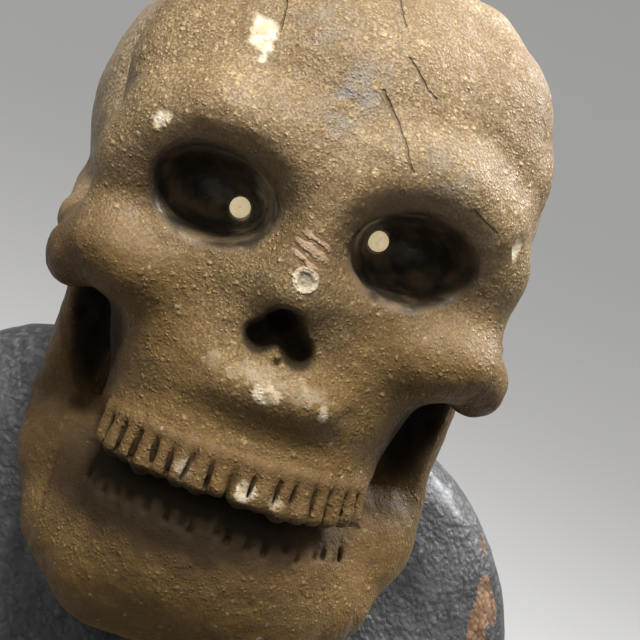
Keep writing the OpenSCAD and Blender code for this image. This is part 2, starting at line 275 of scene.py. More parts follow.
# x, z, semi-axes and turn on the face, mm and degrees
CHIPS = ((-16.2, 41.2, 2.1, 2.9, 25), (-26.3, 25.1, 1.0, 1.6, -20), (30.4, 23.4, 0.8, 1.9, 10))
DENTS = ((21.4, -26.9, 1.1, 1.7, 10), (13.1, -33.5, 0.8, 1.2, 0), (-2.3, 2.2, 0.5, 0.9, 0))
# x, z, semi-axes, turn and strength of pale rubs through to the gesso; the first, a long strip along the top
# of the nose's ledge, is partly a painted highlight there
RUBS = ((1.4, -6.6, 9.5, 1.5, -3, 0.25), (0.6, -8.0, 2.2, 1.4, 0, 0.85), (9.6, -8.6, 1.1, 1.2, 0, 0.85),
        (2.4, -23.0, 1.6, 1.4, 0, 0.7), (-7.5, -22.5, 1.4, 1.2, 0, 0.4), (7, -23.4, 1.2, 1.0, 0, 0.5))
# middle of the wrinkles on the bridge, and middle and radius of the dent below them, mm
WRINKLES = (0.2, 13.8)
RING_DENT = (0.6, 9.7, 1.7)
# x, z, reach across and up, and strength of the brown painted shade under and beside the cheekbones, mm
FACE_SHADES = ((-36, 0, 11, 11, 0.85), (35, -6, 9, 9, 0.8), (-24, -15, 9, 12, 0.6), (27, -12, 8, 9, 0.4),
          (-27, -34, 9, 10, 0.5), (-30, -24, 8, 9, 0.85), (8, 3, 4, 9, 0.25))


def arch(angle, rx, ry):
    """A point on the dental arch, angle from the middle of the face."""
    return rx * math.sin(angle), -33 - ry * math.cos(angle)


def arch_angles(rx, ry, pitch, last=1.3):
    """Angles of points on the arch that stand a pitch apart, from half a pitch off the middle."""
    angles, angle, along, step = [], 0.0, -0.5 * pitch, 0.01
    while angle < last:
        if along >= 0:
            angles.append(angle)
            along -= pitch
        along += step * math.hypot(rx * math.cos(angle), ry * math.sin(angle))
        angle += step
    return angles


def chain(field, stations, blend):
    """Rods from station to station. A station is a point and a radius."""
    for (a, ra), (b, rb) in zip(stations, stations[1:]):
        field.add(Rod(a, b, ra, rb), blend)


def cheek_slot():
    """The opening between the cheekbone and the jaw, on the left side."""
    return Rod((29, -38, -9.5), (24.6, -42, -21.5), 3.1, 2.1, deep=5)


def slot_shadow():
    """Where the slot and the jaw's wall beside it are painted black, as painted shade."""
    return Rod((27, -28, -6.5), (25.4, -33, -23), 4.3, 3.7, deep=6)


def nose_cuts():
    """An upside-down heart: two lobes at the foot and a crown between them."""
    return (Ball((-0.2, -52, 1.9), (2.7, 10, 2.9)),
            Rod((-0.5, -52, 1.6), (-3.0, -52, -0.7), 2.2, 2.3, deep=3.4),
            Rod((0.8, -52, 1.2), (3.6, -52, -1.5), 2.2, 2.1, deep=3.4))


def tooth_gaps():
    """The cuts between the teeth, crude and a little out of line."""
    dice = np.random.default_rng(23)
    gaps = []
    for row, wander, half_width in ((UPPER_TEETH, 0.5, 0.28), (LOWER_TEETH, 1.6, 0.42)):
        half_step = 0.5 * row["pitch"] / row["rx"]
        between = [angle + half_step for angle in arch_angles(row["rx"], row["ry"], row["pitch"])]
        for side in (-1, 1):
            for angle in between + ([0.0] if side > 0 else []):
                x, y = arch(angle + dice.normal(0, 0.012), row["rx"] + 0.8, row["ry"] + 0.8)
                lean = dice.normal(0, 0.35)
                foot = row["foot"] - dice.uniform(0.2, wander)
                wide = half_width * dice.uniform(0.75, 1.25)
                head = (side * x, y, row["top"] - 0.3)
                gaps.append(Rod(head, (side * x + lean, y + 0.2, foot), wide, deep=2))
    return gaps


def skull_field():
    f = Field((0, -60, -60), (42, 58, 64), SKULL_STEP)
    # cranium, forehead and the mask of the face
    f.add(Ball((0, 6, 25), (40.2, 48, 35.5)))
    f.add(Ball((0, -15, 31), (35, 32, 29)), 5)
    # the line of the temple, a blunt corner between the front and the side
    chain(f, [((27.8, -31.2, 20), 4), ((27.2, -30.4, 33), 4), ((23.2, -27, 44), 4), ((17, -22, 52), 4)], 7)
    f.add(Ball((19.5, -26.5, 34), (10, 12.6, 14)), 8)
    f.add(Ball((0, -22, 12), (32, 25.5, 30)), 8)
    # the temple behind the brow and the rim of the socket
    f.cut(Ball((48, -20, 10), (14.5, 12.5, 26), -6), 1.8)
    f.cut(Ball((46.3, -20, 27), (14, 9.5, 30), 12), 2.2)
    # brow and the outer rim of the socket
    chain(f, [((0, -42.3, 26), 5), ((9, -43, 27.3), 5), ((18, -41.6, 27.6), 5), ((25.4, -37.6, 24.5), 4),
              ((29.2, -34.8, 18), 3), ((30, -33.6, 9), 3)], 7)
    # cheekbone and the arch that runs back to the temple
    f.add(Ball((24, -37.5, 2.5), (11, 8, 6.5), 8), 6)
    f.add(Ball((32.8, -33, 0.4), (4.9, 6.2, 5.2)), 3)
    chain(f, [((33, -30, 1), 3.6), ((35, -14, 4), 3), ((35.5, 0, 8), 3)], 4)
    # upper jaw
    f.add(Ball((0, -31, -10), (23.4, 18.5, 17)), 7)
    f.add(Ball((0, -33, -19), (21.8, 17.2, 7)), 4)
    # lower jaw, chin, and the plates that rise from the jaw's corners
    f.add(Ball((0, -31.5, -35), (22.4, 19.2, 16)), 1.5)
    f.add(Ball((0, -32, -43), (23, 15.5, 12.5)), 8)
    chain(f, [((14, -36, -46), 7), ((22, -31, -40), 5.5), ((27, -25, -32), 4.2), ((29.4, -19, -24), 3.6)], 6)
    f.add(Ball((30.6, -15, -13), (2.8, 8.5, 19), -3), 5)
    f.add(Ball((24, -11, -13), (7.5, 11, 17)), 3)
    f.add(Ball((29, -17, -14), (3.4, 6.5, 15), -3), 2.5)
    f.add(Ball((23.4, -25, -29), (6, 8, 6)), 8)
    # bumps behind the ears and under the back of the head
    f.add(Ball((27, 2, -4), (6, 9, 7)), 9)
    f.add(Ball((0, 38, 6), (20, 10, 12)), 12)
    # bridge of the nose
    f.add(Ball((0, -42, 14), (6, 8.5, 14)), 9)
    f.add(Rod((0, -46, 14), (0, -49.2, 7.4), 3.6, 3), 6)
    # the slot under the cheekbone
    f.cut(cheek_slot(), 1.2)
    f.cut(Ball((27.5, -50, -14), (4.2, 11, 9.5), 20), 3)
    # eye sockets: a shallow dish around a deep oval
    f.cut(Ball((16.6, -53.5, 16.4), (13, 10.6, 9.8), 4), 4)
    f.cut(Ball(**SOCKET), 1.2)
    # the throat, open between the jaw and the neck
    f.cut(Ball((0, 6, -54), (90, 24, 25)), 1.5)
    f.mirror()
    # ledge of the nose, and the nose opening with a spur of bone at its foot
    f.add(Ball((1.8, -47.2, -8.6), (9.5, 4.2, 2.8)), 5)
    for shape in nose_cuts():
        f.cut(shape, 0.7)
    f.add(Rod((0.8, -45, -4), (0.6, -50, -2.7), 1.1, 0.5), 0.6)
    # upper teeth are crude lumps, and the lower ones are only cuts in the jaw
    dice = np.random.default_rng(11)
    row = UPPER_TEETH
    for side in (-1, 1):
        for angle in arch_angles(row["rx"], row["ry"], row["pitch"]):
            x, y = arch(angle, row["rx"], row["ry"])
            fat = dice.uniform(1.55, 1.85)
            foot = row["foot"] + dice.normal(0, 0.3)
            f.add(Rod((side * x, y + 1.0, row["top"]), (side * x, y, foot), fat, fat), 1.3)
    for gap in tooth_gaps():
        f.cut(gap, 0.5)
    return f


def skull_shell(f, back):
    """The wall between the outer skin and the hollow, on one side of the seam."""
    y = f.axes[1][None, :, None]
    half = (SEAM + 0.05 - y) if back else (y - SEAM + 0.05)
    shell = copy.copy(f)
    shell.d = np.maximum(np.maximum(f.d, -(f.d + SKULL_WALL)), half).astype(np.float32)
    if back:
        low, high, radius = PLUG_HOLE
        shell.cut(Rod(to_skull(low), to_skull(high), radius))
    else:
        for x, z in AWL_HOLES:
            shell.cut(Rod((x, -40, z), (x, -20, z), AWL_R))
    return shell


def spot(p, x, z, rx, rz, turn=0.0, ragged=0.35):
    """1 inside an oval of the face as seen from the front, 0 outside, with a ragged edge."""
    a = math.radians(turn)
    u, v = p[:, 0] - x, p[:, 2] - z
    far = np.hypot((u * math.cos(a) + v * math.sin(a)) / rx, (v * math.cos(a) - u * math.sin(a)) / rz)
    edge = far + ragged * noise(p, 1.7, 5) + 0.5 * ragged * noise(p, 0.8, 6)
    return (1 - ramp(edge, 0.85, 1.15)) * (p[:, 1] < -20)


def skull_relief(p):
    """Height of the surface over the smooth sculpt, mm: hand-moulded unevenness, chips and dents."""
    height = 0.22 * noise(p, 8, 1) + 0.12 * noise(p, 3.1, 2) + 0.07 * noise(p, 1.3, 3)
    for chip in CHIPS + DENTS:
        height = height - 0.28 * spot(p, *chip)
    x, z, ring = RING_DENT
    far = np.hypot(p[:, 0] - x, p[:, 2] - z)
    return height - 0.35 * (1 - ramp(far, 0.3 * ring, ring)) * (p[:, 1] < -40)


def near(p, shape):
    """A shape's distances at points."""
    return shape(p[:, 0], p[:, 1], p[:, 2])


def skull_paint(p):
    """Red: black paint, and black painted shadow in the slot, along the bite and under the upper teeth.
    Green: bare gesso and pale rubs. Blue: brown stains, and brown painted shade under the brows, round the
    slot, under the teeth and on the cheeks.
    """
    side = p.copy()
    side[:, 0] = np.abs(p[:, 0])
    wobble = 0.5 * noise(p, 2.5, 9)
    eye = near(side, Ball(SOCKET["centre"], np.array(SOCKET["semi"]) + (0, 5, 0), SOCKET["turn"])) + wobble
    black = 1 - ramp(eye, 0.2, 1.6)
    # painted shade in brown under the brow, over the top of each socket
    brow_shade = 0.5 * (1 - ramp(eye, 0.5, 6.5)) * ramp(p[:, 2], 14, 23)
    hole = np.min([near(p, shape) for shape in nose_cuts()], axis=0) + 0.4 * wobble
    black = np.maximum(black, (1 - ramp(hole, 0.1, 1.1)) * 0.93)
    # painted shade: black deep in the slot under the cheekbone and on the jaw's side wall beside it
    slot = near(side, slot_shadow()) + wobble
    black = np.maximum(black, (1 - ramp(slot, -0.2, 1.4)) * ramp(p[:, 1], -43, -36) * (p[:, 1] < SEAM + 10))
    gap = np.full(len(p), 9.0)
    front = p[:, 1] < -34
    gap[front] = np.min([near(p[front], shape) for shape in tooth_gaps()], axis=0)
    # painted shadow: a dark line along the bite, between the upper and the lower teeth
    bite_shadow = (1 - ramp(np.abs(p[:, 2] + 26.4 - 0.3 * wobble), 0.3, 1.1)) * front * (side[:, 0] < 23)
    black = np.maximum(black, 0.9 * (1 - ramp(gap + 0.3 * wobble, -0.1, 0.3)))
    black = np.maximum(black, 0.85 * bite_shadow)
    pale = np.max([spot(p, *chip) for chip in CHIPS], axis=0)
    for x, z, rx, rz, turn, share in RUBS:
        pale = np.maximum(pale, share * spot(p, x, z, rx, rz, turn, 0.5) * (0.6 + 0.4 * noise(p, 1.2, 12)))
    # painted shadow, black and brown, in the hollow under the upper teeth, darkest at the figure's right
    below = np.hypot((p[:, 0] + 11) / 22, (p[:, 2] + 29.2) / 6.6) + 0.22 * noise(p, 4, 13)
    inward = ramp(-p[:, 1], 28, 38)
    band = ramp(-p[:, 2], 24.2, 25.6) * (1 - ramp(below, 0.7, 1.5)) * inward
    black = np.maximum(black, 0.95 * band)
    brown = ramp(-p[:, 2], 24, 26) * (1 - ramp(below, 0.8, 2.0)) * inward
    brown = np.maximum(brown, 0.6 * (1 - ramp(gap, 0.1, 1.4)))
    # painted shadow in brown along the gums, just above the upper teeth
    gum_shadow = np.abs(p[:, 2] - UPPER_TEETH["top"] - 0.6 + 0.4 * wobble)
    brown = np.maximum(brown, 0.75 * (1 - ramp(gum_shadow, 0.2, 1.4)) * front * (side[:, 0] < 22))
    brown = np.maximum(brown, brow_shade)
    brown = np.maximum(brown, 0.6 * (1 - ramp(hole, 0.8, 3.0)) * ramp(p[:, 2], -2, 3))
    # painted shade in brown round the slot
    brown = np.maximum(brown, 0.8 * (1 - ramp(slot, 0.5, 4.0)) * ramp(p[:, 1], -44, -36))
    # painted shade in brown under and beside the cheekbones
    for x, z, rx, rz, share in FACE_SHADES:
        shade_blot = np.hypot((p[:, 0] - x) / rx, (p[:, 2] - z) / rz) + 0.25 * noise(p, 5, 14)
        brown = np.maximum(brown, share * (1 - ramp(shade_blot, 0.35, 1.1)) * (p[:, 1] < SEAM - 4))
    return np.clip(np.stack([black, pale * (1 - black), brown], axis=1), 0, 1)


def near_grid(field, points):
    """The field's distance at the grid points nearest to these points."""
    low = np.array([axis[0] for axis in field.axes])
    index = np.rint((points - low) / field.step).astype(int)
    index = np.clip(index, 0, np.array(field.d.shape) - 1)
    return field.d[tuple(index.T)]


def build_skull():
    """The two shells of the skull."""
    f = skull_field()
    for name, back in (("skull_face", False), ("skull_back", True)):
        points, quads = surface(skull_shell(f, back))
        n = normals(points, quads)
        skin = ramp(near_grid(f, points), *MOULDED_DEPTH)
        lifted = points + n * (skull_relief(points) * skin)[:, None]
        seam = np.abs(points[:, 1] - SEAM) < 0.06
        lifted[seam, 1] = points[seam, 1]
        make(name, from_skull(lifted), quads, "head", "bone_paint", skull_paint(points))


def build_eye_patches():
    """Discs of thin paper behind the awl holes, each pressed a little way into its hole."""
    ring = np.linspace(0, 2 * math.pi, 24, endpoint=False)
    edge = AWL_R - 0.05
    # radius and distance behind PATCH_Y, round the disc's half section
    section = [(edge, 0.0), (AWL_R - 0.1, -0.25), (0.9, -0.42), (0.1, -0.5), (0.1, 0.3), (edge, 0.3)]
    discs, faces = [], []
    for x, z in AWL_HOLES:
        grid = [(x + r * math.cos(a), PATCH_Y + behind, z + r * math.sin(a))
                for r, behind in section for a in ring]
        faces.append(grid_quads(len(section), len(ring), closed_rows=True) + len(grid) * len(discs))
        discs.append(np.array(grid))
    # the discs' paper has a painted glow
    make("eye_patches", from_skull(np.concatenate(discs)), np.concatenate(faces), "head", "cream_paper")


# ---------------------------------------------------------------- dress

DRESS_WALL, SLEEVE_WALL, SKIRT_WALL = 2.2, 1.8, 1.5
CAPE_HEM_Z, CAPE_NECK_R = 445.0, 14.3
BODICE_LOW_Z, BODICE_NECK_R, BODICE_TUCKS = 369.4, 11.3, 34
HEM_Z, WAIST_Z = 22.0, 369.0
HEM_R, WAIST_R = 89.0, 28.0
FLOUNCE_TOP = 60.0
SKIRT_FOLDS = 20
PLEATS = 26
AXLE_Z, AXLE_HOLE_R = 427.0, 2.3
SASH_LOW_Z, SASH_H, SASH_ROLLS = 366.0, 17.0, 3.2
SHOULDER = (60.0, 0.0, AXLE_Z)
MID_ARM = (64.0, 3.0, 385.5)
ELBOW = (64.0, 6.0, 352.0)
WRIST = (40.0, -52.0, 361.0)
SLEEVE_INNER_X, BUSH_HOLE_R = 44.4, 9.4
FRILLS = 11


def shell_of(f, wall):
    """Hollows a field out, leaving a wall."""
    f.d = np.maximum(f.d, -(f.d + wall))
    return f


def keep(f, axis, low=None, high=None):
    """Cuts a field off below low or above high along an axis."""
    shape = [1, 1, 1]
    shape[axis] = -1
    along = f.axes[axis].reshape(shape)
    if low is not None:
        f.d = np.maximum(f.d, low - along)
    if high is not None:
        f.d = np.maximum(f.d, along - high)
    return f


def dress_relief(p, seed, deep=1.0):
    """Crumpled lacquered paper: broad dents, creases and fine crackle, mm."""
    creases = 0.55 * crumple(p, 11, seed) + 0.35 * crumple(p, 5.3, seed + 1)
    creases = creases + 0.16 * crumple(p, 2.4, seed + 2)
    return deep * (creases - 0.62 + 0.45 * noise(p, 21, seed + 3))


def dress_paint(p, n, edge, seed):
    """Red: rubbed through to brown. Green: dust on the faces that look up. edge is 1 at rims that wear."""
    patchy = 0.5 + 0.5 * noise(p, 16, seed + 5) + 0.35 * noise(p, 4.5, seed + 6)
    rub = ramp(patchy + 0.9 * edge, 1.02, 1.3)
    dust = ramp(n[:, 2], 0.2, 0.9) * (0.5 + 0.5 * noise(p, 9, seed + 7))
    return np.clip(np.stack([rub, dust, np.zeros(len(p))], axis=1), 0, 1)


def cape_wear(p):
    """The hem wears, and so does the left shoulder's outer side, most along a streak over its edge."""
    hem = 1 - ramp(p[:, 2], CAPE_HEM_Z, CAPE_HEM_Z + 6)
    side = 0.5 * ramp(p[:, 0], 46, 58) * (1 - ramp(p[:, 2], 468, 492))
    streak = 0.85 * (1 - ramp(near(p, Rod((51, 9, 509), (59, 2, 486), 0.8, 6)), -2, 4))
    return np.maximum(np.maximum(hem, side), streak)


def build_cape():
    """The high-shouldered shell: a mound over each shoulder, and a broad one between them."""
    f = Field((-72, -40, 440), (72, 46, 526), 0.9)
    for side in (-1, 1):
        f.add(Ball((side * 24, 14, 470), (43.5, 26, 51)), 5)
    f.add(Ball((0, 2, 446), (64, 37, 56)), 9)
    f.add(Ball((0, 17, 466), (36, 22.3, 51.5)), 9)
    shell_of(f, DRESS_WALL)
    keep(f, 2, low=CAPE_HEM_Z)
    f.cut(Rod((0, 0, 400), (0, 0, 560), CAPE_NECK_R))
    points, quads = surface(f)
    n = normals(points, quads)
    moved = points + n * dress_relief(points, 31, 0.8)[:, None]
    paint = dress_paint(moved, n, cape_wear(points), 31)
    make("shoulder_cape", moved, quads, "figure", "dress_lacquer", paint)


def bodice_field():
    """The whole bodice, which build_bodice splits into its front and back."""
    f = Field((-48, -36, 366), (48, 38, 502), 0.9)
    f.add(Ball((0, 0, 395), (29.5, 28.5, 70)))
    f.add(Ball((0, 3, 436), (43.3, 29.7, 61.5)), 9)
    f.add(Ball((0, -6, 434), (32, 23.5, 21.5)), 7)
    shell_of(f, DRESS_WALL)
    keep(f, 2, low=BODICE_LOW_Z)
    f.cut(Rod((0, 0, 300), (0, 0, 560), BODICE_NECK_R))
    f.cut(Rod((-80, 0, AXLE_Z), (80, 0, AXLE_Z), AXLE_HOLE_R))
    return f


def build_bodice():
    f = bodice_field()
    whole = f.d.copy()
    for name, low, high in (("bodice_front", None, -0.1), ("bodice_back", 0.1, None)):
        f.d = whole.copy()
        keep(f, 1, low, high)
        points, quads = surface(f)
        n = normals(points, quads)
        # tucks gathered into the waist, fading upward
        angle = np.arctan2(points[:, 1], points[:, 0])
        tucks = 0.7 * np.cos(BODICE_TUCKS * angle + 1.5 * noise(points, 30, 41))
        tucks = tucks * (1 - ramp(points[:, 2], 372, 418))
        flat = ramp(np.abs(points[:, 1]), 0.15, 1.0)
        lift = (dress_relief(points, 42, 0.6) + tucks - 0.2) * flat
        moved = points + n * lift[:, None]
        paint = dress_paint(moved, n, 0.6 * (1 - ramp(points[:, 2], 370, 377)), 43)
        make(name, moved, quads, "figure", "dress_lacquer", paint)


def skirt_r(z):
    """The bell: it flares below the waist."""
    return WAIST_R + (HEM_R - WAIST_R) * np.maximum(0, 1 - (z - HEM_Z) / (WAIST_Z - HEM_Z)) ** 0.8


def ring_points(radius, angle, z):
    """Points round the upright axis, from arrays or numbers that fit together."""
    radius, angle, z = np.broadcast_arrays(radius, angle, z)
    return np.stack([radius * np.cos(angle), radius * np.sin(angle), z], axis=-1)


def build_skirt():
    """The bell skirt, with folds that deepen downward and die out under the flounce."""
    angle = np.linspace(0, 2 * math.pi, 721)[None, :-1]
    z = np.linspace(HEM_Z, WAIST_Z - 0.3, 330)[:, None]
    around = ring_points(60 + 0 * z, angle, z * 0.35).reshape(-1, 3)
    drift = (0.9 * noise(around, 34, 51)).reshape(len(z), -1)
    fold = 0.5 + 0.5 * np.cos(SKIRT_FOLDS * angle + drift)
    fold = fold ** 1.5
    deep = 5.5 * ramp(z, FLOUNCE_TOP - 2, 130) * (skirt_r(z) / HEM_R) ** 0.8 * (1 - 0.8 * ramp(z, 300, 366))
    outer_r = skirt_r(z) - 0.5 + deep * fold
    rows = []
    for radius in (outer_r, outer_r - SKIRT_WALL):
        p = ring_points(radius, angle, z)
        flat = p.reshape(-1, 3)
        lift = 0.55 * dress_relief(flat, 52).reshape(radius.shape) * ramp(z, HEM_Z, HEM_Z + 6)
        lift = lift * (1 - ramp(z, 355, 366))
        rows.append(ring_points(radius + np.maximum(lift, -0.4), angle, z))
    points, quads = band(*rows)
    n = normals(points, quads)
    crest = np.concatenate([fold * ramp(z, 60, 120), 0 * fold]).reshape(-1)
    paint = dress_paint(points, n, 0.45 * crest, 53)
    make("skirt_shell", points, quads, "figure", "dress_lacquer", paint)


def build_flounce():
    """The pleated hem, with a rolled edge at its top and its foot."""
    angle = np.linspace(0, 2 * math.pi, PLEATS * 28 + 1)[None, :-1]
    up = np.linspace(0, 1, 44)[:, None]
    z = HEM_Z + (FLOUNCE_TOP - HEM_Z) * up
    around = ring_points(60 + 0 * up, angle, 20 * up).reshape(-1, 3)
    drift = (0.5 * noise(around, 24, 61)).reshape(len(up), -1)
    wave = 0.5 + 0.5 * np.cos(PLEATS * angle + drift + 0.5 * np.sin(PLEATS * angle))
    outer_r = skirt_r(z) + 3 + (1 - 0.6 * up) * 5.4 * wave
    outer_r = outer_r - 2.0 * ramp(up, 0.9, 1.0) + 0.9 * np.exp(-((up - 0.86) / 0.035) ** 2)
    outer_r = outer_r + 0.8 * np.exp(-((up - 0.05) / 0.04) ** 2)
    lift = 0.5 * dress_relief(ring_points(outer_r, angle, z).reshape(-1, 3), 62).reshape(outer_r.shape)
    outer = ring_points(outer_r + lift * ramp(up, 0, 0.1), angle, z)
    inner = ring_points(skirt_r(z) + 0.4 + 0 * angle, angle, z)
    points, quads = band(outer, inner)
    n = normals(points, quads)
    rim = np.exp(-((up - 0.05) / 0.06) ** 2) + np.exp(-((up - 0.86) / 0.04) ** 2) + 0.4 * wave
    worn = np.concatenate([0.7 * rim + 0 * angle, 0 * wave]).reshape(-1)
    make("hem_flounce", points, quads, "figure", "dress_lacquer", dress_paint(points, n, worn, 63))


def build_sash():
    """The band round the waist, gathered into rolls."""
    angle = np.linspace(0, 2 * math.pi, 361)[None, :-1]
    up = np.linspace(0, 1, 40)[:, None]
    z = SASH_LOW_Z + SASH_H * up
    around = ring_points(30 + 0 * up, angle, 0 * up).reshape(-1, 3)
    drift = (1.6 * noise(around, 16, 71)).reshape(len(up), -1)
    gathers = np.sin(2 * math.pi * SASH_ROLLS * up + drift)
    outer_r = 30.2 + 1.5 * np.sin(math.pi * up) ** 0.5 + 0.45 * gathers
    outer = ring_points(outer_r, angle, z)
    inner = ring_points(29.4 + 0 * angle + 0 * up, angle, z)
    points, quads = band(outer, inner)
    n = normals(points, quads)
    edge = np.concatenate([0.5 + 0.5 * gathers, 0 * gathers]).reshape(-1)
    make("waist_sash", points, quads, "figure", "dress_lacquer", dress_paint(points, n, 0.6 * edge, 72))


# ---------------------------------------------------------------- arms

def wrist_frame(p, tip=14.0, turn=-22.5):
    """From the wrist's frame, whose -y points along the hand, to the part's frame, for the left arm."""
    a, b = math.radians(tip), math.radians(turn)
    y = p[:, 1] * math.cos(a) - p[:, 2] * math.sin(a)
    z = p[:, 1] * math.sin(a) + p[:, 2] * math.cos(a)
    x, y = p[:, 0] * math.cos(b) - y * math.sin(b), p[:, 0] * math.sin(b) + y * math.cos(b)
    return np.stack([x, y, z], axis=1) + np.array(WRIST)


def sleeve_field():
    """The left sleeve, open at the wrist and flat where it meets the bodice."""
    f = Field((28, -68, 336), (80, 20, 447), 0.8)
    f.add(Rod(SHOULDER, MID_ARM, 16.6, 12.2))
    f.add(Rod(MID_ARM, ELBOW, 12.2, 10.8), 3)
    f.add(Rod(ELBOW, WRIST, 10.8, 8.8), 4)
    shell_of(f, SLEEVE_WALL)
    f.cut(Rod((0, 0, AXLE_Z), (50, 0, AXLE_Z), BUSH_HOLE_R))
    along = np.array(WRIST) - np.array(ELBOW)
    along = along / np.linalg.norm(along)
    x, y, z = np.meshgrid(*f.axes, indexing="ij", sparse=True)
    f.d = np.maximum(f.d, np.where(z > MID_ARM[2], SLEEVE_INNER_X - x, -9))
    past_wrist = (x - WRIST[0]) * along[0] + (y - WRIST[1]) * along[1] + (z - WRIST[2]) * along[2]
    f.d = np.maximum(f.d, np.where(y < -20, past_wrist, -9)).astype(np.float32)
    return f


def sleeve_wrinkles(p):
    """Rings of folds that bunch up at the elbow and die out along the arm."""
    down = np.linalg.norm(p - np.array(ELBOW), axis=1)
    bunch = np.exp(-(down / 26) ** 2)
    rings = np.sin(2 * math.pi * (down / 6.5 + 0.5 * noise(p, 14, 81)))
    return 0.9 * bunch * rings


def sleeve():
    """Points, quads and paint of the left sleeve."""
    points, quads = surface(sleeve_field())
    n = normals(points, quads)
    wrinkles = sleeve_wrinkles(points)
    lift = dress_relief(points, 82, 0.5) + wrinkles - 0.3
    off_bodice = ramp(points[:, 0], SLEEVE_INNER_X + 1, SLEEVE_INNER_X + 5.5)
    lift *= np.maximum(off_bodice, points[:, 2] < MID_ARM[2])
    moved = points + n * lift[:, None]
    return moved, quads, dress_paint(moved, n, 0.5 * (wrinkles > 0.4), 83)


def cuff():
    """The frilled ring round the left wrist."""
    angle = np.linspace(0, 2 * math.pi, 121)[None, :-1]
    around = np.linspace(0, 2 * math.pi, 33)[:-1, None]
    wave = np.cos(FRILLS * angle)
    radius = 10.6 + 2.1 * np.cos(around) * (1 + 0.1 * wave) + 0.35 * wave
    rows = ring_points(radius, angle, 2.6 * np.sin(around) * (1 + 0.06 * wave))
    points = np.stack([rows[..., 0], 0.6 - rows[..., 2], rows[..., 1]], axis=-1).reshape(-1, 3)
    points = wrist_frame(points, 9.0)
    quads = grid_quads(around.size, angle.size, closed_rows=True)
    n = normals(points, quads)
    return points, quads, dress_paint(points, n, 0.5 + 0 * n[:, 0], 84)


def hand():
    """The left hand, browner between the bones."""
    points, quads = surface(hand_field())
    n = normals(points, quads)
    points = points + n * (0.12 * noise(points, 2.2, 85))[:, None]
    brown = np.clip(0.75 - near_grid(hand_field(thin=0.5), points) * 0.9, 0, 1)
    brown = 0.7 * brown * ramp(noise(points, 3, 86), -0.6, 0.6)
    return wrist_frame(points), quads, np.stack([0 * brown, 0 * brown, brown], axis=1)


def build_arms():
    """Both arms. The right one is the left one's mirror image."""
    shapes = (("sleeve", "dress_lacquer", sleeve()),
              ("cuff", "dress_lacquer", cuff()),
              ("hand", "bone_paint", hand()))
    for side in ("right", "left"):
        for piece, slot, (points, quads, paint) in shapes:
            if side == "right":
                points, quads = points * (-1, 1, 1), quads[:, ::-1]
            make(f"{piece}_{side}", points, quads, f"arm_{side}", slot, paint)


def hand_field(thin=0.0):
    """A skeleton's hand: a wrist stub, four fingers of three bones each with knobbed ends, and a thumb."""
    f = Field((-18, -48, -14), (14, 8, 8), 0.4)

    def bone(a, b, r):
        """A shaft between two knobs."""
        f.add(Rod(a, b, 0.72 * r - thin), 0.5)
        for end, size in ((a, 1.0), (b, 0.95)):
            f.add(Ball(end, (size * r - thin, size * r * 1.08 - thin, size * r * 0.95 - thin)), 0.9)

    f.add(Rod((0, 1.0, 0), (0, -9, 0), 4.1 - thin, 3.6 - thin))
    f.add(Ball((0, -8.5, 0), (5.2 - thin, 3.2 - thin, 2.9 - thin)), 1.5)
    for i in (-1.5, -0.5, 0.5, 1.5):
        knuckle = np.array([i * 4.6, -23.2 + abs(i) * 1.2, -1])
        middle = knuckle + (i * 0.9, -10 + abs(i), -3)
        tip = middle + (i * 0.3, -7.5 + abs(i) * 0.8, -5)
        bone((i * 2.2, -9.2, 0), knuckle, 1.9)
        bone(knuckle, middle, 1.75)
        bone(middle, tip, 1.5)
    bone((-3, -6.2, 0), (-10, -14.2, -2), 1.9)
    bone((-10, -14.2, -2), (-12, -22.2, -4.5), 1.6)
    return f


# ---------------------------------------------------------------- materials

